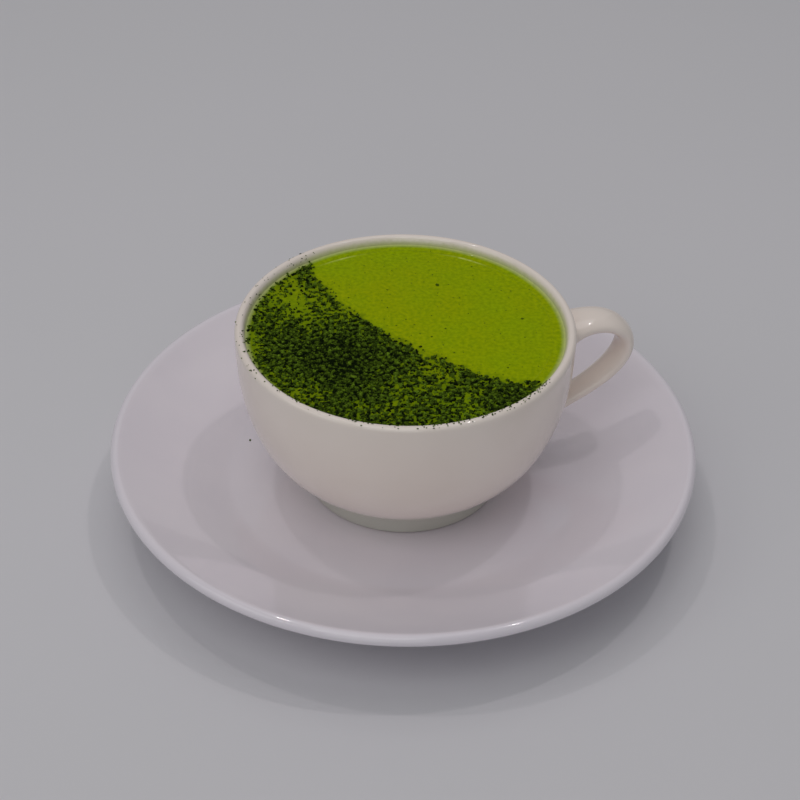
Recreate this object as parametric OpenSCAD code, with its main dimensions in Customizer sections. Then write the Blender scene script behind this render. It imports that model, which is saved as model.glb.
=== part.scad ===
// Matcha latte in a wide porcelain cup with an ear handle, standing on its saucer.
// Millimetres, +Z up. The origin is the middle of the saucer's foot ring, on the table.

/* [Saucer] */
// Outer diameter of the saucer
saucer_d = 169; // [140:1:200]
// Height of the saucer's edge above the table
saucer_h = 22.8; // [18:0.1:28]
// Thickness of the saucer's porcelain
saucer_t = 3.4; // [2.6:0.1:4.4]
// Height above the table of the flat middle that the cup stands on
seat_z = 8.7; // [6:0.1:11]
// Diameter of the saucer's flat middle
seat_d = 100; // [70:1:110]
// How late the saucer's rim turns up: 1 is a straight slope
rim_turn = 1.3; // [1.2:0.1:2.4]
// Outer diameter of the saucer's foot ring
saucer_foot_d = 96; // [84:1:110]
// Width of the saucer's foot ring
saucer_foot_w = 4; // [3:0.5:6]

/* [Cup] */
// Outer diameter of the cup's rim
cup_d = 95; // [80:1:110]
// Height of the cup from its foot to its lip
cup_h = 52.4; // [44:0.1:66]
// Thickness of the cup's wall
cup_wall = 2.9; // [2.2:0.1:4]
// Thickness of the cup's floor
cup_floor = 4; // [3:0.5:7]
// Fullness of the bowl's side: 2 is an ellipse, more is squarer
bowl_side = 3.5; // [2:0.1:4]
// Fullness of the bowl's bottom: 2 is an ellipse, more is flatter
bowl_bottom = 2.4; // [2:0.1:3]
// Outer diameter of the cup's foot ring
foot_d = 58; // [44:1:64]
// Height of the foot ring, from its sole to the middle of the bowl's underside
foot_h = 3; // [2:0.5:5]
// Width of the foot ring
foot_w = 3.6; // [2.6:0.2:5]

/* [Handle] */
// Direction in which the handle points, turned from +X towards +Y
handle_turn = 15; // [0:1:45]
// Height on the cup where the top of the handle leaves the wall
handle_top_z = 42.5; // [36:0.5:46]
// Height on the cup where the handle comes back to the wall
handle_low_z = 13; // [10:0.5:20]
// How far the loop is drawn out from the wall
handle_reach = 40.5; // [30:0.5:50]
// How much the top of the loop rises before it turns down
handle_rise = 10; // [4:0.5:12]
// Width of the handle where it leaves the wall
handle_w_top = 12; // [9:0.5:15]
// Width of the handle where it comes back to the wall
handle_w_low = 7; // [6:0.5:12]
// Thickness of the handle where it leaves the wall
handle_t_top = 5.4; // [4:0.2:6.5]
// Thickness of the handle where it comes back to the wall
handle_t_low = 4.2; // [3.4:0.2:6]

/* [Drink] */
// Depth of the drink's surface below the lip
drink_below_lip = 2.4; // [1:0.1:12]
// Clearance between the drink and the inside of the cup
drink_gap = 0.1; // [0.05:0.05:0.3]

/* [Hidden] */

$fn = 96;

curve_steps = 22;          // straight pieces along a long curve
round_steps = 8;           // straight pieces along a half round edge
loop_steps = 30;           // rings along the handle
ring_sides = 18;           // sides of one ring of the handle
bend_steps = 4;            // straight pieces along a short curve
edge_steps = 3;            // straight pieces along a rounded edge of a foot ring

cup_r = cup_d / 2;
foot_r = foot_d / 2;
cup_in_r = cup_r - cup_wall;
lip_r = cup_wall / 2;                      // half round lip
lip_z = cup_h - lip_r;                     // where the lip's round begins
bowl_depth = lip_z - foot_h;               // outside, below the lip
bowl_in_depth = bowl_depth - cup_floor;    // inside, below the lip
foot_blend = 2.5;                          // hollow between bowl and foot
foot_edge = 0.8;                           // rounding of the foot's sole
foot_cove = 1.2;                           // slope inside the foot ring, under the bowl
drink_z = cup_h - drink_below_lip;

saucer_r = saucer_d / 2;
edge_r = saucer_t / 2;
mid_end_r = saucer_r - edge_r;             // centre of the round edge
mid_end_z = saucer_h - edge_r;
mid_flat_z = seat_z - edge_r;
saucer_foot_edge = min(1, saucer_foot_w / 3);   // rounding of the foot's sole
saucer_foot_blend = 1.5;                   // reach of the slope outside the foot ring
saucer_foot_drop = 1;                      // height of that slope
saucer_foot_cove = 0.8;                    // slope inside the foot ring

loop_pull_top = 0.38;       // share of the reach that draws the top of the loop out
loop_pull_low = 0.65;       // height of the outer pull, as a share from the low to the top root
flare_w = 1.6;              // extra half width where the handle meets the wall
flare_t = 0.9;              // extra half thickness there
flare_turn = 10;            // how late the flare begins: more is later

// ---- curves ----

// Depth below the lip's round at radius r of a bowl with radius big_r and the given depth
function bowl_depth_at(r, big_r, depth) =
    depth * pow(max(0, 1 - pow(r / big_r, bowl_side)), 1 / bowl_bottom);

// A point of the bowl's outline: a is 0 at the rim and 90 on the axis
function bowl_point(a, big_r, depth) = [
    big_r * pow(max(0, cos(a)), 2 / bowl_side),
    lip_z - depth * pow(max(0, sin(a)), 2 / bowl_bottom)
];

// The angle at which the bowl's outline has radius r
function bowl_angle(r, big_r) = acos(pow(r / big_r, bowl_side / 2));

// Points of a round arc about a centre
function arc(centre, r, from, to, steps) = [
    for (i = [0 : steps]) let (a = from + (to - from) * i / steps)
        centre + r * [cos(a), sin(a)]
];

// A point of a curve with one bend
function bend(p, q, s, t) = (1 - t) * (1 - t) * p + 2 * t * (1 - t) * q + t * t * s;

// A point of the handle's centre line, and its direction
function loop_point(t) = let (u = 1 - t)
    u * u * u * loop[0] + 3 * u * u * t * loop[1] + 3 * u * t * t * loop[2] + t * t * t * loop[3];
function loop_dir(t) = let (u = 1 - t, v =
    u * u * (loop[1] - loop[0]) + 2 * u * t * (loop[2] - loop[1]) + t * t * (loop[3] - loop[2]))
    v / norm(v);

// Middle of the saucer's thickness at radius r, and its slope
function dish_share(r) = max(0, (r - seat_d / 2) / (mid_end_r - seat_d / 2));
function dish_z(r) = mid_flat_z + (mid_end_z - mid_flat_z) * pow(dish_share(r), rim_turn);
function dish_slope(r) = dish_share(r) <= 0 ? 0 :
    (mid_end_z - mid_flat_z) * rim_turn * pow(dish_share(r), rim_turn - 1)
        / (mid_end_r - seat_d / 2);
// A point of the saucer's face: side is 1 for the upper one and -1 for the underside
function dish_face(r, side) = let (m = dish_slope(r), s = side * edge_r / sqrt(1 + m * m))
    [r - s * m, dish_z(r) + s];

// ---- saucer ----

module saucer() {
    last_slope = atan(dish_slope(mid_end_r));
    steps = [for (i = [0 : curve_steps])
        seat_d / 2 + (mid_end_r - seat_d / 2) * i / curve_steps];
    foot_out_r = saucer_foot_d / 2;
    foot_in_r = foot_out_r - saucer_foot_w;
    blend_r = foot_out_r + saucer_foot_blend;
    under_z = mid_flat_z - edge_r;
    sole = saucer_foot_edge;
    color("#e6e0e8") rotate_extrude() polygon(concat(
        [[0, seat_z]],
        [for (r = steps) if (r < mid_end_r) dish_face(r, 1)],
        arc([mid_end_r, mid_end_z], edge_r, last_slope + 90, last_slope - 90, round_steps),
        [for (i = [curve_steps - 1 : -1 : 0]) if (steps[i] > blend_r) dish_face(steps[i], -1)],
        [dish_face(blend_r, -1)],
        [[foot_out_r, dish_face(foot_out_r, -1)[1] - saucer_foot_drop]],
        arc([foot_out_r - sole, sole], sole, 0, -90, edge_steps),
        arc([foot_in_r + sole, sole], sole, 270, 180, edge_steps),
        [[foot_in_r, under_z - saucer_foot_cove], [foot_in_r - saucer_foot_cove, under_z],
            [0, under_z]]
    ));
}

// ---- cup ----

// The bowl's hollow, from its floor up to the cup's top, drawn in by a gap
module bowl_hollow(gap) {
    rotate_extrude() polygon(concat(
        [[0, cup_h], [cup_in_r - gap, cup_h]],
        [for (i = [0 : curve_steps])
            bowl_point(90 * i / curve_steps, cup_in_r - gap, bowl_in_depth - gap)]
    ));
}

module cup_body() {
    blend_r = foot_r + foot_blend;
    blend_z = lip_z - bowl_depth_at(blend_r, cup_r, bowl_depth);
    corner_z = lip_z - bowl_depth_at(foot_r, cup_r, bowl_depth);
    end_a = bowl_angle(blend_r, cup_r);
    foot_in_r = foot_r - foot_w;
    rotate_extrude() polygon(concat(
        arc([cup_r - lip_r, lip_z], lip_r, 90, 0, round_steps / 2),
        [for (i = [1 : curve_steps]) bowl_point(end_a * i / curve_steps, cup_r, bowl_depth)],
        [for (i = [1 : bend_steps]) bend([blend_r, blend_z], [foot_r, corner_z],
            [foot_r, corner_z - foot_blend], i / bend_steps)],
        arc([foot_r - foot_edge, foot_edge], foot_edge, 0, -90, edge_steps),
        arc([foot_in_r + foot_edge, foot_edge], foot_edge, 270, 180, edge_steps),
        [[foot_in_r, foot_h - foot_cove], [foot_in_r - foot_cove, foot_h], [0, foot_h],
            [0, cup_h]]
    ));
}

// Centre line of the handle, across from the cup's axis and up from its foot
wall_top_r = cup_r - cup_wall / 2;
wall_low_r = cup_r * pow(1 - pow((lip_z - handle_low_z) / bowl_depth, bowl_bottom), 1 / bowl_side)
    - cup_wall / 2;
loop = [
    [wall_top_r, handle_top_z],
    [wall_top_r + handle_reach * loop_pull_top, handle_top_z + handle_rise],
    [wall_top_r + handle_reach, handle_low_z + (handle_top_z - handle_low_z) * loop_pull_low],
    [wall_low_r, handle_low_z]
];

// Half width of the handle along its length: it flares a little into the wall at each end
function loop_half_w(t) = (handle_w_top + (handle_w_low - handle_w_top) * t) / 2
    + flare_w * pow(abs(2 * t - 1), flare_turn);
function loop_half_t(t) = (handle_t_top + (handle_t_low - handle_t_top) * t) / 2
    + flare_t * pow(abs(2 * t - 1), flare_turn);

module handle() {
    rings = [for (i = [0 : loop_steps]) let (
            t = i / loop_steps, p = loop_point(t), d = loop_dir(t), out = [d[1], -d[0]])
        for (k = [0 : ring_sides - 1]) let (
                a = 360 * k / ring_sides, q = p + out * loop_half_t(t) * cos(a))
            [q[0], loop_half_w(t) * sin(a), q[1]]];
    sides = [for (i = [0 : loop_steps - 1], k = [0 : ring_sides - 1]) let (
            n = (k + 1) % ring_sides, a = i * ring_sides)
        [a + k, a + ring_sides + k, a + ring_sides + n, a + n]];
    first = [for (k = [0 : ring_sides - 1]) k];
    last = [for (k = [ring_sides - 1 : -1 : 0]) loop_steps * ring_sides + k];
    rotate([0, 0, handle_turn])
        polyhedron(points = rings, faces = concat([first], sides, [last]), convexity = 4);
}

module cup() {
    color("#efe8de") translate([0, 0, seat_z]) difference() {
        union() {
            cup_body();
            handle();
        }
        bowl_hollow(0);
    }
}

// ---- drink ----

module latte() {
    color("#748506") translate([0, 0, seat_z]) intersection() {
        bowl_hollow(drink_gap);
        cylinder(r = cup_r, h = drink_z);
    }
}

saucer();
cup();
latte();
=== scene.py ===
"""Looks of a matcha latte in a wide porcelain cup with an ear handle, on its saucer.

Shapes are worked out in millimetres, with +Z up and the middle of the saucer's foot at the
origin, and turned to metres when a mesh is finished.
"""

import math

import bmesh
import bpy
import numpy as np
from mathutils import Euler, Matrix, Vector, noise


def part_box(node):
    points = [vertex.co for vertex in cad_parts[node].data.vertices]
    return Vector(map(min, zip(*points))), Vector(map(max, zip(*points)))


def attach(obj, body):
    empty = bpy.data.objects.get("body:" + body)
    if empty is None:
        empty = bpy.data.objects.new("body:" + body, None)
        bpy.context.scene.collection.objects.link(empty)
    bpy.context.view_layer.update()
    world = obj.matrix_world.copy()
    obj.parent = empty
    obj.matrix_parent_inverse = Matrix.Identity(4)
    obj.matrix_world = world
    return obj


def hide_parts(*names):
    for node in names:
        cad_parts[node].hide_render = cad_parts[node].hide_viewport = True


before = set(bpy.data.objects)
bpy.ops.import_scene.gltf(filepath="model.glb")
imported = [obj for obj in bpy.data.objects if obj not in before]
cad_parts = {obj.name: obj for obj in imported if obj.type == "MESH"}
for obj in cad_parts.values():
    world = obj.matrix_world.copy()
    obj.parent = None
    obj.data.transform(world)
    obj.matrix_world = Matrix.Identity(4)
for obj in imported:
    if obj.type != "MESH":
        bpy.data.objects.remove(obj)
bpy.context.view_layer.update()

MM = 0.001

# ---- sizes, in millimetres ----

saucer_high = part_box("saucer")[1] / MM
cup_low, cup_high = (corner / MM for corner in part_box("cup"))
latte_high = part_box("latte")[1] / MM

# Saucer
SAUCER_R = saucer_high.y
SAUCER_TOP = saucer_high.z
SAUCER_T = 3.4              # thickness of the porcelain
SEAT_R = 50                 # flat middle
RIM_TURN = 1.3              # how late the rim turns up
SOFT_TURN = 0.07            # softness of the turn where the rim leaves the flat
SAUCER_FOOT_R = 48
SAUCER_FOOT_W = 4
SAUCER_FOOT_TOP = 4         # where the painted shade on its foot ends
SAUCER_FOOT_EDGE = 1        # rounding of the foot's two lower edges
SAUCER_FOOT_COVE = 1.5      # hollow corner outside the foot
SAUCER_FOOT_BLEND = 1.2     # hollow corner inside it

# Cup
SEAT_Z = cup_low.z
CUP_R = cup_high.y
CUP_TOP = cup_high.z
CUP_WALL = 2.9
CUP_FLOOR = 4
BOWL_SIDE = 3.5             # fullness of the bowl's side
BOWL_BOTTOM = 2.4           # fullness of its bottom
FOOT_R = 29
FOOT_W = 3.6
FOOT_H = 3                  # depth of the hollow under the cup
FOOT_EDGE = 0.8             # rounding of the foot's two lower edges
FOOT_TAPER = 0.4            # how far the foot's outside draws in towards its sole
LIP_R = CUP_WALL / 2
LIP_Z = CUP_TOP - LIP_R
BOWL_DEPTH = LIP_Z - SEAT_Z - FOOT_H
CUP_IN_R = CUP_R - CUP_WALL
LIP_IN = (1.6, 3.2)         # half axes of the lip's rounding on its inner side
BOWL_IN_DEPTH = BOWL_DEPTH - CUP_FLOOR
CUP_FOOT_TOP = LIP_Z - BOWL_DEPTH * (1 - (FOOT_R / CUP_R) ** BOWL_SIDE) ** (1 / BOWL_BOTTOM)

# Handle
HANDLE_TURN = math.radians(15)
HANDLE_TOP_Z = SEAT_Z + 42.5
HANDLE_LOW_Z = SEAT_Z + 13
HANDLE_REACH = 40.5
HANDLE_RISE = 10
HANDLE_PULLS = (0.38, 0.65) # share of the reach at the top, and of the drop at the outside
HANDLE_WIDTH = (12, 7)      # at the top and low root
HANDLE_THICK = (5.4, 4.2)
HANDLE_FLARE = (0.8, 0.5)   # extra half width and half thickness where it meets the wall
FLARE_TURN = 8              # how late the flare starts

# Drink
DRINK_Z = latte_high.z      # where the drink meets the wall
INTO_WALL = 0.15            # how far the drink's mesh reaches into the porcelain
MENISCUS_H = 0.3            # how far the drink climbs the wall
MENISCUS_W = 1.6            # distance in which the climb fades away
RING_R = 41.0               # fine crease left by the froth as it drew back from the wall
RING_H = 0.2
RING_W = 0.32
# Painted highlights: pale arcs on the crease where the two lamps glint
HIGHLIGHT_LINE_W = 0.3              # half width of the painted highlight line on the crease
PAINTED_HIGHLIGHT_ARCS = [(65, 7, 0.75), (118, 7, 0.6)]    # middle and reach in degrees, strength


# ---- curves ----

def bowl_r(z, big_r, depth):
    """Radius at height z of a bowl that is big_r wide at the lip and depth deep."""
    share = min(1, max(0, (LIP_Z - z) / depth))
    return big_r * (1 - share ** BOWL_BOTTOM) ** (1 / BOWL_SIDE)


def bowl_point(a, big_r, depth):
    """Point of the bowl's outline: a is 0 at the lip and a quarter turn on the axis."""
    return (big_r * max(0, math.cos(a)) ** (2 / BOWL_SIDE),
            LIP_Z - depth * max(0, math.sin(a)) ** (2 / BOWL_BOTTOM))


def bowl_angle(r, big_r):
    """Angle at which the bowl's outline has radius r."""
    return math.acos((r / big_r) ** (BOWL_SIDE / 2))


def arc(centre, r, start, end, steps):
    """Points of a round arc, with its angles in degrees."""
    angles = [math.radians(start + (end - start) * i / steps) for i in range(steps + 1)]
    return [(centre[0] + r * math.cos(a), centre[1] + r * math.sin(a)) for a in angles]


def evenly(curve, count):
    """Points spaced evenly along a curve, which is a function of 0 to 1."""
    fine = [curve(i / 600) for i in range(601)]
    run = np.cumsum([0] + [math.dist(a, b) for a, b in zip(fine, fine[1:])])
    marks = np.linspace(0, run[-1], count)
    columns = [np.interp(marks, run, [p[k] for p in fine]) for k in range(len(fine[0]))]
    return list(zip(*columns))


def smooth_step(x, low, high):
    """0 below low, 1 above high and a soft change between them."""
    t = np.clip((x - low) / (high - low), 0, 1)
    return t * t * (3 - 2 * t)


# ---- meshes ----

def spun(profile, steps, start=0.0):
    """Closed body of revolution about the Z axis, in millimetres."""
    bm = bmesh.new()
    turn = Matrix.Rotation(start, 3, "Z")
    points = [bm.verts.new(turn @ Vector((r, 0, z))) for r, z in profile]
    lines = [bm.edges.new(pair) for pair in zip(points, points[1:])]
    bmesh.ops.spin(bm, geom=points + lines, cent=(0, 0, 0), axis=(0, 0, 1),
                   angle=2 * math.pi, steps=steps, use_merge=True, use_duplicate=False)
    bmesh.ops.remove_doubles(bm, verts=bm.verts, dist=1e-4)
    bmesh.ops.recalc_face_normals(bm, faces=bm.faces)
    return bm


def finish_mesh(bm, name, material):
    """Turns a bmesh in millimetres into an object in metres with smooth faces."""
    bmesh.ops.scale(bm, vec=(MM, MM, MM), verts=bm.verts)
    mesh = bpy.data.meshes.new(name)
    bm.to_mesh(mesh)
    bm.free()
    mesh.shade_smooth()
    mesh.materials.append(material)
    piece = bpy.data.objects.new(name, mesh)
    bpy.context.scene.collection.objects.link(piece)
    return piece


def settle(piece, slot, *nodes):
    """Gives a finished piece its body and hides the CAD nodes it stands for; the slot is not
    used.
    """
    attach(piece, "root")
    if nodes:
        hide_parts(*nodes)


# ---- materials ----

def linear(hex_colour, alpha=1.0):
    """Linear colour of an sRGB hex value."""
    channels = [int(hex_colour[i:i + 2], 16) / 255 for i in (1, 3, 5)]
    return [c / 12.92 if c <= 0.04045 else ((c + 0.055) / 1.055) ** 2.4
            for c in channels] + [alpha]


def per_mm(size):
    """Noise scale, in waves per metre, of features that are size millimetres across."""
    return 1 / (size * MM)


def add(tree, kind, inputs=None, **settings):
    """Adds a node with its settings; an input is a value to set or a socket to link."""
    node = tree.nodes.new("ShaderNode" + kind)
    for key, value in settings.items():
        setattr(node, key, value)
    for key, value in (inputs or {}).items():
        if isinstance(value, bpy.types.NodeSocket):
            tree.links.new(value, node.inputs[key])
        else:
            node.inputs[key].default_value = value
    return node


def new_material(name):
    """An empty material, its node tree and its output node."""
    material = bpy.data.materials.new(name)
    material.use_nodes = True
    tree = material.node_tree
    tree.nodes.clear()
    return material, tree, add(tree, "OutputMaterial")


# Sockets by number, where a node has several of the same name
MIX_FACTOR, MIX_A, MIX_B, MIX_OUT = 0, 6, 7, 2      # Mix node for colours
NUMBER_A, NUMBER_B, NUMBER_OUT = 2, 3, 0            # Mix node for numbers
VALUE, LOW, HIGH, AT_LOW, AT_HIGH = range(5)        # Map Range node


def glazed_porcelain(name, colour, pooled, sole_z, foot_top, film=None):
    """Glazed porcelain: jiggered body under a clear fired glaze.

    The eye sees a hard glossy white with small sharp highlights, a faint waviness where the
    glaze ran, a slightly deeper colour where it pooled, a foot greyed with painted shade and a
    bare matt sole.
    The sole and the top of the foot are heights in millimetres.
    """
    material, tree, output = new_material(name)
    place = add(tree, "TexCoord").outputs["Object"]
    height = add(tree, "SeparateXYZ", {0: place}).outputs["Z"]
    cloud = add(tree, "TexNoise", {"Vector": place, "Scale": per_mm(28), "Detail": 2.0})
    tone = add(tree, "MapRange", {VALUE: cloud.outputs["Fac"], LOW: 0.35, HIGH: 0.65})
    body = add(tree, "Mix", {MIX_FACTOR: tone.outputs[0], MIX_A: linear(colour),
                             MIX_B: linear(pooled)}, data_type="RGBA")
    sole = add(tree, "MapRange", {VALUE: height, LOW: (sole_z + 0.2) * MM,
                                  HIGH: (sole_z + 0.4) * MM, AT_LOW: 1.0, AT_HIGH: 0.0})
    # painted shade: below the foot's top the colour is mixed towards a darker grey-green, for
    # the shade the foot sits in
    foot = add(tree, "MapRange", {VALUE: height, LOW: (foot_top - 0.5) * MM,
                                  HIGH: foot_top * MM, AT_LOW: 0.7, AT_HIGH: 0.0})
    shaded_foot = add(tree, "Mix", {MIX_FACTOR: foot.outputs[0], MIX_A: body.outputs[MIX_OUT],
                             MIX_B: linear("#B4B9AE")}, data_type="RGBA")
    skin = add(tree, "Mix", {MIX_FACTOR: sole.outputs[0], MIX_A: shaded_foot.outputs[MIX_OUT],
                             MIX_B: linear("#C9C0B4")}, data_type="RGBA")
    if film:
        # a thin film of drink left on the inside of the wall, just above the drink
        inside = add(tree, "Attribute", attribute_name="inside").outputs["Fac"]
        patch = add(tree, "TexNoise", {"Vector": place, "Scale": per_mm(1.3), "Detail": 3.0})
        edge = add(tree, "Math", {0: patch.outputs["Fac"], 1: 0.9 * MM, 2: height},
                   operation="MULTIPLY_ADD")
        level = add(tree, "MapRange", {VALUE: edge.outputs[0], LOW: (DRINK_Z + 0.3) * MM,
                                       HIGH: (DRINK_Z + 2.1) * MM, AT_LOW: 0.8,
                                       AT_HIGH: 0.0})
        amount = add(tree, "Math", {0: level.outputs[0], 1: inside}, operation="MULTIPLY")
        skin = add(tree, "Mix", {MIX_FACTOR: amount.outputs[0], MIX_A: skin.outputs[MIX_OUT],
                                 MIX_B: linear(film)}, data_type="RGBA")
    gloss = add(tree, "MapRange", {VALUE: cloud.outputs["Fac"], LOW: 0.3, HIGH: 0.7,
                                   AT_LOW: 0.04, AT_HIGH: 0.07})
    rough = add(tree, "Mix", {MIX_FACTOR: sole.outputs[0], NUMBER_A: gloss.outputs[0],
                              NUMBER_B: 0.6}, data_type="FLOAT")
    waves = add(tree, "TexNoise", {"Vector": place, "Scale": per_mm(9), "Detail": 2.0})
    peel = add(tree, "TexNoise", {"Vector": place, "Scale": per_mm(1.6), "Detail": 1.0})
    slow = add(tree, "Bump", {"Height": waves.outputs["Fac"], "Distance": 0.05 * MM,
                              "Strength": 0.5})
    fine = add(tree, "Bump", {"Height": peel.outputs["Fac"], "Distance": 0.006 * MM,
                              "Strength": 0.5, "Normal": slow.outputs[0]})
    shader = add(tree, "BsdfPrincipled", {"Base Color": skin.outputs[MIX_OUT],
                                          "Roughness": rough.outputs[NUMBER_OUT], "IOR": 1.6,
                                          "Normal": fine.outputs[0]})
    tree.links.new(shader.outputs[0], output.inputs["Surface"])
    return material


def frothed_matcha():
    """Frothed matcha and milk: an opaque yellow-green liquid with a skin of microfoam.

    The eye sees a nearly flat, saturated satin green, mottled by tiny bubbles and drowned
    powder, deeper where the dry powder has bled into the foam, paler where it thins out over
    the white wall, and a painted highlight: a fine broken pale line a little way in from the
    wall, where the lamps glint on the crease.
    """
    material, tree, output = new_material("frothed_matcha")
    place = add(tree, "TexCoord").outputs["Object"]
    cloud = add(tree, "TexNoise", {"Vector": place, "Scale": per_mm(17), "Detail": 3.0})
    drift = add(tree, "MapRange", {VALUE: cloud.outputs["Fac"], LOW: 0.35, HIGH: 0.65})
    body = add(tree, "Mix", {MIX_FACTOR: drift.outputs[0], MIX_A: linear("#9AB303"),
                             MIX_B: linear("#A4B100")}, data_type="RGBA")
    grit = add(tree, "TexNoise", {"Vector": place, "Scale": per_mm(1.1), "Detail": 2.0})
    grain = add(tree, "MapRange", {VALUE: grit.outputs["Fac"], LOW: 0.3, HIGH: 0.7,
                                   AT_LOW: 0.9, AT_HIGH: 0.0})
    foam = add(tree, "Mix", {MIX_FACTOR: grain.outputs[0], MIX_A: body.outputs[MIX_OUT],
                             MIX_B: linear("#829A02")}, data_type="RGBA")
    # the last mix is a painted highlight on the crease; bled and thin are the drink's own
    # colours
    for change, colour in [("bled", "#3F5F06"), ("thin", "#E2E2B4"), ("painted_highlight", "#DCE67A")]:
        share = add(tree, "Attribute", attribute_name=change).outputs["Fac"]
        foam = add(tree, "Mix", {MIX_FACTOR: share, MIX_A: foam.outputs[MIX_OUT],
                                 MIX_B: linear(colour)}, data_type="RGBA")
    bubbles = add(tree, "TexVoronoi", {"Vector": place, "Scale": per_mm(0.9)})
    skin = add(tree, "Bump", {"Height": bubbles.outputs["Distance"], "Distance": 0.015 * MM,
                              "Strength": 0.3})
    shader = add(tree, "BsdfPrincipled", {"Base Color": foam.outputs[MIX_OUT],
                                          "Roughness": 0.13, "IOR": 1.34,
                                          "Specular IOR Level": 0.03,
                                          "Normal": skin.outputs[0]})
    tree.links.new(shader.outputs[0], output.inputs["Surface"])
    return material


def matcha_powder(name, dark, light):
    """Stone-ground green tea: a dull fine powder that clumps as it takes up moisture.

    The eye sees matt specks whose green runs from nearly black where they are wet to a
    paler, yellower green where they are dry; part of that paleness is painted light on ridges.
    """
    material, tree, output = new_material(name)
    place = add(tree, "TexCoord").outputs["Object"]
    tone = add(tree, "Attribute", attribute_name="tone").outputs["Fac"]
    body = add(tree, "Mix", {MIX_FACTOR: tone, MIX_A: linear(dark), MIX_B: linear(light)},
               data_type="RGBA")
    grit = add(tree, "TexNoise", {"Vector": place, "Scale": per_mm(0.25), "Detail": 2.0})
    crumb = add(tree, "Bump", {"Height": grit.outputs["Fac"], "Distance": 0.1 * MM,
                               "Strength": 0.6})
    shader = add(tree, "BsdfPrincipled", {"Base Color": body.outputs[MIX_OUT],
                                          "Roughness": 0.85, "Specular IOR Level": 0.05,
                                          "Normal": crumb.outputs[0]})
    tree.links.new(shader.outputs[0], output.inputs["Surface"])
    return material


def painted_table():
    """Painted table top: a satin, even, very pale grey that gives soft shadows."""
    material, tree, output = new_material("painted_table")
    place = add(tree, "TexCoord").outputs["Object"]
    cloud = add(tree, "TexNoise", {"Vector": place, "Scale": per_mm(111), "Detail": 2.0})
    body = add(tree, "Mix", {MIX_FACTOR: cloud.outputs["Fac"], MIX_A: linear("#DAD8DC"),
                             MIX_B: linear("#D8D7DA")}, data_type="RGBA")
    shader = add(tree, "BsdfPrincipled", {"Base Color": body.outputs[MIX_OUT],
                                          "Roughness": 0.55, "Specular IOR Level": 0.25})
    tree.links.new(shader.outputs[0], output.inputs["Surface"])
    return material


# ---- saucer ----

def make_saucer(material):
    """A shallow coupe saucer: flat middle, curved rim, round edge and a foot ring."""
    edge_r = SAUCER_T / 2
    flat_z = SEAT_Z - edge_r
    edge_at = (SAUCER_R - edge_r, SAUCER_TOP - edge_r)
    run, rise = edge_at[0] - SEAT_R, edge_at[1] - flat_z
    scale = 1 / ((1 + SOFT_TURN ** 2) ** (RIM_TURN / 2) - SOFT_TURN ** RIM_TURN)

    def face(r, side):
        share = (r - SEAT_R) / run
        lift = (share ** 2 + SOFT_TURN ** 2) ** (RIM_TURN / 2) - SOFT_TURN ** RIM_TURN
        slope = ((share ** 2 + SOFT_TURN ** 2) ** (RIM_TURN / 2 - 1)
                 * share * RIM_TURN * rise / run)
        s = side * edge_r / math.hypot(1, slope)
        return (r - s * slope, flat_z + rise * lift * scale + s)

    steps = [SEAT_R + run * i / 32 for i in range(32)]
    last = math.degrees(math.atan(rise * RIM_TURN / run))
    foot_in_r = SAUCER_FOOT_R - SAUCER_FOOT_W
    edge, cove, inner = SAUCER_FOOT_EDGE, SAUCER_FOOT_COVE, SAUCER_FOOT_BLEND
    under_z = flat_z - edge_r
    profile = (
        [(r, SEAT_Z) for r in (0, 8, 18, 28, 38, 45, 48)]
        + [face(r, 1) for r in steps]
        + arc(edge_at, edge_r, last + 90, last - 90, 14)
        + [face(r, -1) for r in reversed(steps)]
        + arc((SAUCER_FOOT_R + cove, under_z - cove), cove, 90, 180, 4)
        + arc((SAUCER_FOOT_R - edge, edge), edge, 0, -90, 5)
        + arc((foot_in_r + edge, edge), edge, 270, 180, 5)
        + arc((foot_in_r - inner, under_z - inner), inner, 0, 90, 4)
        + [(r, under_z) for r in (36, 24, 12, 0)]
    )
    bm = spun(profile, 192)
    return finish_mesh(bm, "saucer_glazed", material)


# ---- cup ----

def smoothed(step):
    """Share of its radius that an arc keeps when a cage in steps of some degrees is smoothed."""
    return (4 + 2 * math.cos(math.radians(step))) / 6


def loop_point(t):
    """Centre line of the handle: across from the cup's axis, and height."""
    top_r = CUP_R - CUP_WALL / 2
    low_r = bowl_r(HANDLE_LOW_Z, CUP_R, BOWL_DEPTH) - CUP_WALL / 2
    drop = HANDLE_TOP_Z - HANDLE_LOW_Z
    pulls = [(top_r, HANDLE_TOP_Z),
             (top_r + HANDLE_REACH * HANDLE_PULLS[0], HANDLE_TOP_Z + HANDLE_RISE),
             (top_r + HANDLE_REACH, HANDLE_LOW_Z + drop * HANDLE_PULLS[1]),
             (low_r, HANDLE_LOW_Z)]
    weights = [(1 - t) ** 3, 3 * t * (1 - t) ** 2, 3 * t * t * (1 - t), t ** 3]
    return tuple(sum(w * p[k] for w, p in zip(weights, pulls)) for k in (0, 1))


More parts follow.
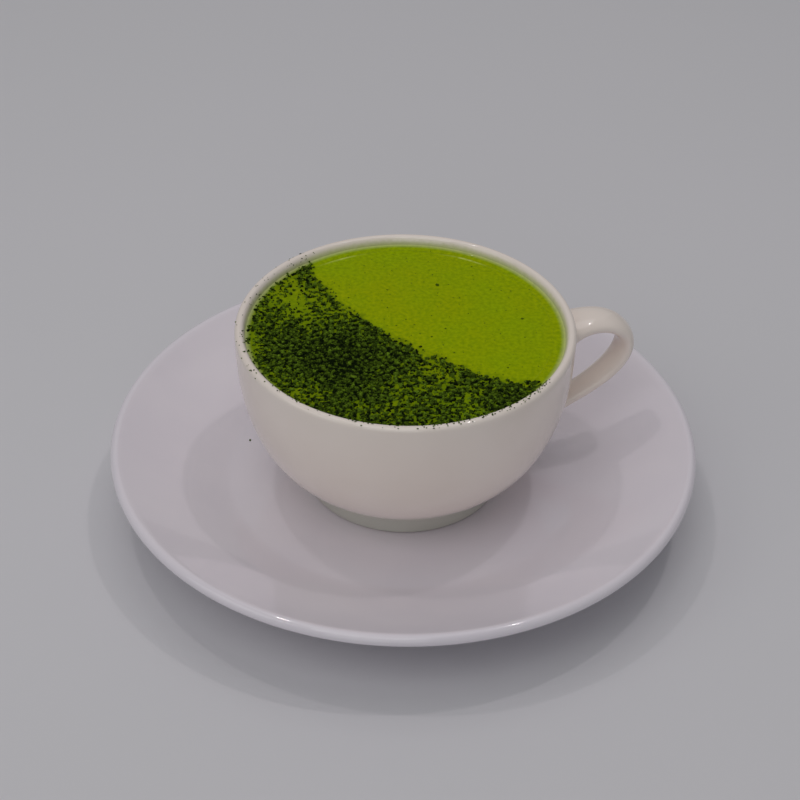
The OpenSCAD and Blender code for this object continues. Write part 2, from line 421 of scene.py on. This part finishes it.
def make_cup(material):
    """Bowl, foot ring and handle as one skin, so that the handle's roots flow into the wall."""
    columns, hole_columns, hole_rows = 80, 4, 3
    ring_sides = 2 * (hole_columns + hole_rows)
    foot_in_r = FOOT_R - FOOT_W
    foot_low_r = FOOT_R - FOOT_TAPER
    end_a = bowl_angle(FOOT_R + 1.3, CUP_R)
    outside = evenly(lambda t: bowl_point(end_a * (1 - t), CUP_R, BOWL_DEPTH), 23)
    start_a = math.asin(((LIP_IN[1] + 0.6 - LIP_R) / BOWL_IN_DEPTH) ** (BOWL_BOTTOM / 2))
    inside = evenly(lambda t: bowl_point(start_a + (math.pi / 2 - start_a) * t,
                                         CUP_IN_R, BOWL_IN_DEPTH), 26)
    shrink = smoothed(30)
    lip_inside = [(CUP_R - LIP_R - LIP_IN[0] / shrink * math.sin(math.radians(a)),
                   CUP_TOP + LIP_IN[1] * (math.cos(math.radians(a)) / shrink - 1))
                  for a in (30, 60, 90)]
    profile = (
        [(0, SEAT_Z + FOOT_H), (12, SEAT_Z + FOOT_H), (foot_in_r - 2, SEAT_Z + FOOT_H),
         (foot_in_r - 0.5, SEAT_Z + FOOT_H - 0.5), (foot_in_r, SEAT_Z + FOOT_H - 1.6)]
        + arc((foot_in_r + FOOT_EDGE, SEAT_Z + FOOT_EDGE), FOOT_EDGE, 180, 270, 2)
        + arc((foot_low_r - FOOT_EDGE, SEAT_Z + FOOT_EDGE), FOOT_EDGE, 270, 360, 2)
        + [(FOOT_R - 0.15, CUP_FOOT_TOP - 2.4), (FOOT_R, CUP_FOOT_TOP - 0.7),
           (FOOT_R + 0.1, CUP_FOOT_TOP - 0.2), (FOOT_R + 0.5, CUP_FOOT_TOP + 0.1)]
        + outside
        + arc((CUP_R - LIP_R, LIP_Z), LIP_R / shrink, 30, 90, 2)
        + lip_inside
        + inside
    )
    profile = [(r, min(max(z, SEAT_Z), CUP_TOP)) for r, z in profile]
    bm = spun(profile, columns, HANDLE_TURN)

    # openings in the wall for the two roots of the handle
    half_span = 2 * math.pi / columns * hole_columns / 2
    roots = []
    for z in (HANDLE_TOP_Z, HANDLE_LOW_Z):
        middle = min(range(1, len(outside) - hole_rows), key=lambda k:
                     abs(outside[k][1] + outside[k + hole_rows][1] - 2 * z))
        low, high = outside[middle][1], outside[middle + hole_rows][1]

        def in_root(f):
            c = f.calc_center_median()
            turned = abs(math.atan2(c.y, c.x) - HANDLE_TURN)
            on_outside = math.hypot(c.x, c.y) > bowl_r(c.z, CUP_R, BOWL_DEPTH) - LIP_R
            return turned < half_span and low < c.z < high and on_outside

        faces = [f for f in bm.faces if in_root(f)]
        edge_count = {}
        for f in faces:
            for e in f.edges:
                edge_count[e] = edge_count.get(e, 0) + 1
        roots.append([e for e, n in edge_count.items() if n == 1])
        bmesh.ops.delete(bm, geom=faces, context="FACES")

    # rings along the handle, each an oval across its centre line
    rings = []
    side = Vector((0, 1, 0))
    section_shrink = smoothed(360 / ring_sides)
    turn = Matrix.Rotation(HANDLE_TURN, 4, "Z")
    line = evenly(lambda t: loop_point(0.055 + 0.89 * t), 15)
    marks = np.linspace(0, 1, len(line))
    for i, (x, z) in enumerate(line):
        before, after = line[max(i - 1, 0)], line[min(i + 1, len(line) - 1)]
        along = Vector((after[0] - before[0], 0, after[1] - before[1])).normalized()
        out = along.cross(side)
        flare = abs(2 * marks[i] - 1) ** FLARE_TURN
        half_w = np.interp(marks[i], (0, 1), HANDLE_WIDTH) / 2 + HANDLE_FLARE[0] * flare
        half_t = np.interp(marks[i], (0, 1), HANDLE_THICK) / 2 + HANDLE_FLARE[1] * flare
        place = Matrix((side * half_w / section_shrink, out * half_t / section_shrink,
                        along)).transposed().to_4x4()
        place = turn @ Matrix.Translation((x, 0, z)) @ place
        verts = bmesh.ops.create_circle(bm, radius=1, segments=ring_sides,
                                        matrix=place)["verts"]
        rings.append(list({e for v in verts for e in v.link_edges}))
    for first, second in zip([roots[0]] + rings, rings + [roots[1]]):
        bmesh.ops.bridge_loops(bm, edges=first + second)
    bmesh.ops.recalc_face_normals(bm, faces=bm.faces)

    cup = finish_mesh(bm, "cup_glazed", material)
    smooth = cup.modifiers.new("smooth", "SUBSURF")
    smooth.levels = smooth.render_levels = 2
    inside = cup.data.attributes.new("inside", "FLOAT", "POINT")
    for v, level in zip(cup.data.vertices, inside.data):
        x, y, z = v.co / MM
        level.value = 1.0 if math.hypot(x, y) < bowl_r(z, CUP_R, BOWL_DEPTH) - LIP_R else 0.0
    return cup


# ---- drink and powder ----

# The powder lies outside a wide circle that passes across the drink
CLEAN_AT = (62.9, 70.8)
CLEAN_R = 98.6
# Thicker and thinner drifts of powder: across, back, radius, change of cover
DRIFTS = [
    (-17, -14, 12, 0.26), (-29, -9, 7, 0.12), (-14, -26, 7, 0.08), (29, -28, 7, 0.18),
    (-10, 3, 5, 0.08), (-28, 11, 9, -0.2), (-36, 20, 6, -0.22), (8, -18, 5, -0.2),
    (-28, -30, 6, -0.16), (16, -31, 6, -0.12), (-42, -8, 4, -0.16), (-2, -33, 5, -0.08),
]
COVER = 0.6                 # share of the drink that the powder hides away from the drifts
EDGE_SOFT = (-1.6, 1.8)     # where the cover starts and is full, in mm past the edge
BED_SPACING = 0.42
BED_T = 0.3
BED_DEPTH = 0.5             # how far the damp layer's low parts lie below the drink

# Loose grains on the damp layer: name, count, smallest and largest
GRAIN_KINDS = [("matcha_grains_coarse", 4800, (0.52, 0.85)),
               ("matcha_grains_medium", 9000, (0.38, 0.6)),
               ("matcha_grains_fine", 8000, (0.26, 0.42))]
# Floating specks on the clean half: their count and sizes, and two larger ones
SPECK_COUNT = 150
SPECK_SIZES = (0.28, 0.65)
LARGE_SPECKS = [(8.9, 23.6), (32.8, 7.4)]
LARGE_SPECK_SIZES = [1.5, 1.1]
LARGE_SPECK_TONES = [0.1, 0.15]
# Grains on the lip: azimuth from and to, count, furthest inside and outside in degrees
LIP_GRAINS = [(125, 215, 60, -70, 75), (215, 268, 60, -50, 40),
              (268, 328, 170, -55, 40), (130, 140, 10, -60, 75)]
LIP_GRAIN_SIZES = (0.22, 0.55)
# Grains on the saucer: across, back, size
SAUCER_GRAINS = [(-50.3, 22.2, 0.6), (-46.1, 12.0, 0.8)]


def noise_at(x, y, size, seed):
    """Smooth noise from about -1 to 1 with features size millimetres across."""
    return noise.noise(Vector((x / size + seed * 17.3, y / size - seed * 9.1, seed)))


def past_edge(x, y):
    """Distance in millimetres from the ragged edge of the powder, positive inside it."""
    ragged = 2.6 * noise_at(x, y, 5, 1) + 2.4 * noise_at(x, y, 1.7, 2)
    return math.hypot(x - CLEAN_AT[0], y - CLEAN_AT[1]) - CLEAN_R + ragged


def cover(x, y):
    """Share of the drink's surface that powder hides at a place."""
    s = past_edge(x, y)
    if s < EDGE_SOFT[0]:
        return 0.0
    base = COVER
    for dx, dy, r, change in DRIFTS:
        base += change * math.exp(-((x - dx) ** 2 + (y - dy) ** 2) / (r * r))
    base += 0.16 * noise_at(x, y, 5, 3)
    wall = CUP_IN_R - math.hypot(x, y)
    base *= 0.5 + 0.5 * float(smooth_step(wall, 0.2, 2.0))
    return float(np.clip(base * smooth_step(s, *EDGE_SOFT), 0, 1))


def clump(x, y):
    """1 on a clump of powder and 0 in a gap between clumps or on the clean drink."""
    share = cover(x, y)
    if share <= 0:
        return 0.0
    grit = 0.5 + 0.65 * noise_at(x, y, 1.25, 4) + 0.3 * noise_at(x, y, 0.6, 14)
    gap = 1 - share
    return float(smooth_step(grit, gap - 0.12, gap + 0.12))


def dryness_and_ridge_light(x, y):
    """How pale the powder is at a place: 0 where it is wet and 1 where it stands up dry, with
    noisy pale strands that are painted light on its ridges.
    """
    wet = float(smooth_step(cover(x, y), 0.7, 0.95))
    # painted light: the noise strands pale the powder where its ridges would catch the light;
    # the wet term is its own darker colour
    return 0.3 + 1.0 * noise_at(x, y, 1.15, 12) + 0.4 * noise_at(x, y, 0.6, 13) - 0.3 * wet


def drink_height(r):
    """Height of the clean drink at a distance r from the middle."""
    climb = MENISCUS_H * math.exp(-(CUP_IN_R - r) / MENISCUS_W)
    return DRINK_Z - MENISCUS_H + min(climb, MENISCUS_H)


def crease_r(x, y):
    """Radius of the froth's wandering crease in the direction of a place."""
    return RING_R + 0.35 * noise_at(x, y, 12, 6)


def painted_crease_highlight(x, y):
    """Strength of the painted highlight at a place near the wall: a fine broken pale line on the
    crease where the lamps glint.
    """
    turn = math.degrees(math.atan2(y, x))
    span = max(math.exp(-((turn - middle) / reach) ** 2) * level
               for middle, reach, level in PAINTED_HIGHLIGHT_ARCS)
    broken = min(1, max(0, 0.75 + 1.1 * noise_at(x, y, 1.6, 15)))
    off = (math.hypot(x, y) - crease_r(x, y)) / HIGHLIGHT_LINE_W
    return span * broken * math.exp(-off ** 2)


def make_drink(material):
    """The drink down to the cup's floor, with a meniscus and a fine froth ring."""
    top_r = bowl_r(DRINK_Z, CUP_IN_R, BOWL_IN_DEPTH) + INTO_WALL
    start = math.asin(((LIP_Z - DRINK_Z) / BOWL_IN_DEPTH) ** (BOWL_BOTTOM / 2))
    wall = evenly(lambda t: bowl_point(math.pi / 2 + (start - math.pi / 2) * t,
                                       CUP_IN_R + INTO_WALL, BOWL_IN_DEPTH + INTO_WALL), 40)
    # radii of the top, close together on the crease
    radii = np.concatenate([np.arange(top_r, 42.4, -0.3),
                            np.arange(42.4, 39.8, -0.12), np.arange(39.8, 1, -0.8), [0]])
    bm = spun(wall[:-1] + [(r, drink_height(r)) for r in radii], 256)
    for v in bm.verts:
        x, y, z = v.co
        r = math.hypot(x, y)
        if z < DRINK_Z - 1 or r > top_r - 0.1:
            continue
        broken = min(1, max(0.3, 0.75 + 0.8 * noise_at(x, y, 7, 5)))
        ring = RING_H * broken * math.exp(-((r - crease_r(x, y)) / RING_W) ** 2)
        calm = float(smooth_step(CUP_IN_R - r, 0, 4))
        v.co.z += ring + calm * (0.05 * noise_at(x, y, 11, 7) + 0.006 * noise_at(x, y, 2, 8))
    drink = finish_mesh(bm, "matcha_drink", material)
    bled, thin, painted_highlight = (drink.data.attributes.new(name, "FLOAT", "POINT").data
                         for name in ("bled", "thin", "painted_highlight"))
    for i, v in enumerate(drink.data.vertices):
        x, y, z = v.co / MM
        if z > DRINK_Z - 2:
            r = math.hypot(x, y)
            bled[i].value = min(1, cover(x, y) * (0.95 + 0.4 * noise_at(x, y, 2, 9)))
            thin[i].value = 0.85 * float(smooth_step(r, CUP_IN_R - 1.7, CUP_IN_R + 1.0))
            # painted highlight along the crease, where the lamps glint
            painted_highlight[i].value = painted_crease_highlight(x, y)
    return drink


def bed_height(x, y):
    """Top of the damp layer of powder above the drink, negative where there is none."""
    share = cover(x, y)
    crumbs = 0.2 * noise_at(x, y, 0.8, 11)
    return -BED_DEPTH + 0.75 * share * clump(x, y) + 0.3 * share + crumbs


def make_bed(material):
    """Damp layer of powder that floats on the drink, as relief under the loose grains."""
    count = int(2 * CUP_IN_R / BED_SPACING)
    bm = bmesh.new()
    bmesh.ops.create_grid(bm, x_segments=count, y_segments=count, size=CUP_IN_R)
    buried = []
    for v in bm.verts:
        x, y = v.co.x, v.co.y
        r = math.hypot(x, y)
        if r > CUP_IN_R - 0.25 or past_edge(x, y) < -2:
            buried.append(v)
            continue
        high = bed_height(x, y)
        v.co.z = drink_height(r) + high
        if high < -BED_DEPTH:
            buried.append(v)
    bmesh.ops.delete(bm, geom=buried, context="VERTS")
    bmesh.ops.solidify(bm, geom=bm.faces, thickness=BED_T)
    bmesh.ops.recalc_face_normals(bm, faces=bm.faces)
    bed = finish_mesh(bm, "matcha_damp_layer", material)
    tone = bed.data.attributes.new("tone", "FLOAT", "POINT")
    for v, level in zip(bed.data.vertices, tone.data):
        x, y, _ = v.co / MM
        level.value = min(1, max(0, dryness_and_ridge_light(x, y)))
    return bed


def grain_shapes(rng, count):
    """A few angular grains about one unit across, all with the same faces."""
    bm = bmesh.new()
    bmesh.ops.create_icosphere(bm, subdivisions=1, radius=0.5)
    base = np.array([v.co for v in bm.verts])
    faces = np.array([[v.index for v in f.verts] for f in bm.faces])
    bm.free()
    shapes = [base * rng.uniform(0.72, 1.25, (len(base), 1)) * rng.uniform(0.75, 1.2, (1, 3))
              for _ in range(count)]
    return shapes, faces


def make_grains(name, material, places, sizes, tones, rng, flat=0.8):
    """One mesh of many separate grains, each turned its own way."""
    shapes, faces = grain_shapes(rng, 12)
    corners = len(shapes[0])
    count = len(places)
    picks = rng.integers(0, len(shapes), count)
    angles = rng.uniform(0, 2 * math.pi, (count, 3))
    turns = [np.array(Euler(tuple(a)).to_matrix()) for a in angles]
    points = np.empty((count, corners, 3))
    for i in range(count):
        grain = shapes[picks[i]] @ turns[i].T
        grain[:, 2] *= flat
        points[i] = grain * sizes[i] + places[i]
    triangles = faces[None] + (np.arange(count) * corners)[:, None, None]
    mesh = bpy.data.meshes.new(name)
    mesh.from_pydata((points.reshape(-1, 3) * MM).tolist(), [],
                     triangles.reshape(-1, 3).tolist())
    mesh.materials.append(material)
    tone = mesh.attributes.new("tone", "FLOAT", "POINT")
    tone.data.foreach_set("value", np.repeat(tones, corners).astype(np.float32))
    grains = bpy.data.objects.new(name, mesh)
    bpy.context.scene.collection.objects.link(grains)
    return grains


def scatter(rng, count, chance, limit_r):
    """Random places on the drink, kept with the chance that a function gives."""
    found = []
    while len(found) < count:
        x, y = rng.uniform(-limit_r, limit_r, 2)
        if math.hypot(x, y) < limit_r and rng.uniform() < chance(x, y):
            found.append((x, y))
    return found


def lip_point(a, roll, lift):
    """Point on the lip: a is its azimuth, and roll runs from -90 inside to 90 outside."""
    lean = math.radians(roll)
    wide, high = (LIP_R, LIP_R) if roll > 0 else LIP_IN
    r = CUP_R - LIP_R + (wide + lift) * math.sin(lean)
    return (r * math.cos(a), r * math.sin(a), CUP_TOP - high + (high + lift) * math.cos(lean))


def make_powder(dry, drowned):
    """Grains on the powdered half, specks on the clean half, and grains that missed both."""
    rng = np.random.default_rng(7)
    limit = CUP_IN_R - 0.3
    pieces = []

    def on_bed(x, y, size):
        top = max(bed_height(x, y), 0.0)
        return (x, y, drink_height(math.hypot(x, y)) + top + size * rng.uniform(-0.05, 0.3))

    for name, count, (small, big) in GRAIN_KINDS:
        spots = scatter(rng, count, clump, limit)
        sizes = rng.uniform(small, big, count)
        tones = np.clip([dryness_and_ridge_light(x, y) for x, y in spots] + rng.normal(0, 0.12, count), 0, 1)
        places = [on_bed(x, y, s) for (x, y), s in zip(spots, sizes)]
        pieces.append(make_grains(name, dry, places, sizes, tones, rng))

    def clean(x, y):
        s = past_edge(x, y)
        return 0.0 if s > 0 else 0.35 + 0.65 * math.exp(s / 6)

    # drowned and floating specks on the clean half, more of them near the powder
    spots = scatter(rng, SPECK_COUNT, clean, limit - 2)
    sizes = np.concatenate([rng.uniform(*SPECK_SIZES, len(spots)), LARGE_SPECK_SIZES])
    tones = np.concatenate([rng.beta(1.2, 1.2, len(spots)), LARGE_SPECK_TONES])
    spots += LARGE_SPECKS
    places = [(x, y, drink_height(math.hypot(x, y)) + 0.02) for x, y in spots]
    pieces.append(make_grains("matcha_specks", drowned, places, sizes, tones, rng, flat=0.35))

    # grains that missed the drink: on the lip, and two on the saucer
    places, sizes = [], []
    for start, end, count, inner, outer in LIP_GRAINS:
        for _ in range(count):
            a = math.radians(rng.uniform(start, end))
            size = rng.uniform(*LIP_GRAIN_SIZES)
            roll = inner + (outer - inner) * rng.beta(1.0, 1.5)
            places.append(lip_point(a, roll, size * 0.12))
            sizes.append(size)
    for x, y, size in SAUCER_GRAINS:
        places.append((x, y, SEAT_Z + 0.15))
        sizes.append(size)
    pieces.append(make_grains("matcha_grains_strewn", dry, places, sizes,
                              rng.uniform(0.0, 0.6, len(places)), rng, flat=0.5))
    return pieces


# ---- stage, lamps and camera ----

def make_stage(material):
    """A plain pale table top."""
    bm = bmesh.new()
    bmesh.ops.create_grid(bm, x_segments=1, y_segments=1, size=2500)
    table = finish_mesh(bm, "table_top", material)


def lamp(name, place, aim, size, watts, colour, shape):
    """An area lamp at a place in metres, turned towards aim."""
    data = bpy.data.lights.new(name, "AREA")
    data.shape = shape
    data.size = size
    data.energy = watts
    data.color = linear(colour)[:3]
    thing = bpy.data.objects.new(name, data)
    thing.location = place
    thing.rotation_euler = (Vector(aim) - Vector(place)).to_track_quat("-Z", "Y").to_euler()
    bpy.context.scene.collection.objects.link(thing)


# Lights: name, place in metres, size, watts, colour
SMALL_LAMPS = [("lamp_left", (-0.335, 0.17, 1.15), 0.045, 0.6, "#FFF8FA"),
               ("lamp_right", (0.335, 0.17, 1.15), 0.045, 0.75, "#FFF8FA")]
SOFT_LIGHTS = [("window", (-1.2, -0.6, 1.1), 1.0, 2.5, "#FFFFFD"),
               ("overhead", (0.0, 0.12, 0.9), 0.6, 0.92, "#FFFCFD"),
               ("behind", (0.0, 1.4, 1.1), 2.0, 2.1, "#FFFCFE"),
               ("front_high", (-0.2, -0.8, 1.4), 0.8, 3.1, "#FFFFFF"),
               ("front_low", (-0.2, -1.6, 0.5), 1.0, 2.2, "#FBFFFE")]


def make_light():
    """An even pale room, two small lamps high on both sides and five broad soft lights."""
    world = bpy.data.worlds.new("room")
    world.use_nodes = True
    sky = world.node_tree.nodes["Background"]
    sky.inputs["Color"].default_value = linear("#F8FDFF")
    sky.inputs["Strength"].default_value = 0.19
    bpy.context.scene.world = world
    for name, place, size, watts, colour in SMALL_LAMPS:
        lamp(name, place, (0, 0, 0), size, watts, colour, "DISK")
    for name, place, size, watts, colour in SOFT_LIGHTS:
        lamp(name, place, (0, 0, 0.03), size, watts, colour, "SQUARE")


CAMERA_LIFT = 40.433        # degrees above the table
CAMERA_DISTANCE = 0.52444   # metres from the middle of the saucer
CAMERA_LENS = 78.99
CAMERA_TURNS = (2.98, 0.137, 1.149)     # tilt, pan and roll in degrees from the middle


def make_camera():
    """A long lens from the front, about 40 degrees above the table."""
    lift = math.radians(CAMERA_LIFT)
    data = bpy.data.cameras.new("camera")
    data.lens = CAMERA_LENS
    data.sensor_width = 36
    camera = bpy.data.objects.new("camera", data)
    place = Vector((0, -CAMERA_DISTANCE * math.cos(lift), CAMERA_DISTANCE * math.sin(lift)))
    look = (-place).to_track_quat("-Z", "Y").to_matrix().to_4x4()
    tilt, pan, roll = (Matrix.Rotation(math.radians(turn), 4, axis)
                       for turn, axis in zip(CAMERA_TURNS, "XYZ"))
    camera.matrix_world = Matrix.Translation(place) @ look @ tilt @ pan @ roll
    bpy.context.scene.collection.objects.link(camera)
    bpy.context.scene.camera = camera


bpy.context.scene.view_settings.view_transform = "Standard"
make_camera()
make_light()
make_stage(painted_table())

saucer_glaze = glazed_porcelain("saucer_porcelain", "#EBE4EB", "#E7E0E8", 0, SAUCER_FOOT_TOP)
cup_glaze = glazed_porcelain("cup_porcelain", "#F5E9E0", "#F2E5DB", SEAT_Z, CUP_FOOT_TOP,
                             film="#B4C062")
settle(make_saucer(saucer_glaze), "saucer_glaze", "saucer")
settle(make_cup(cup_glaze), "cup_glaze", "cup")
settle(make_drink(frothed_matcha()), "matcha_drink", "latte")
settle(make_bed(matcha_powder("damp_matcha", "#121D05", "#415C10")), "matcha_powder")
for grains in make_powder(matcha_powder("dry_matcha", "#101B04", "#6E8C20"),
                          matcha_powder("drowned_matcha", "#35500A", "#8DA208")):
    settle(grains, "matcha_powder")
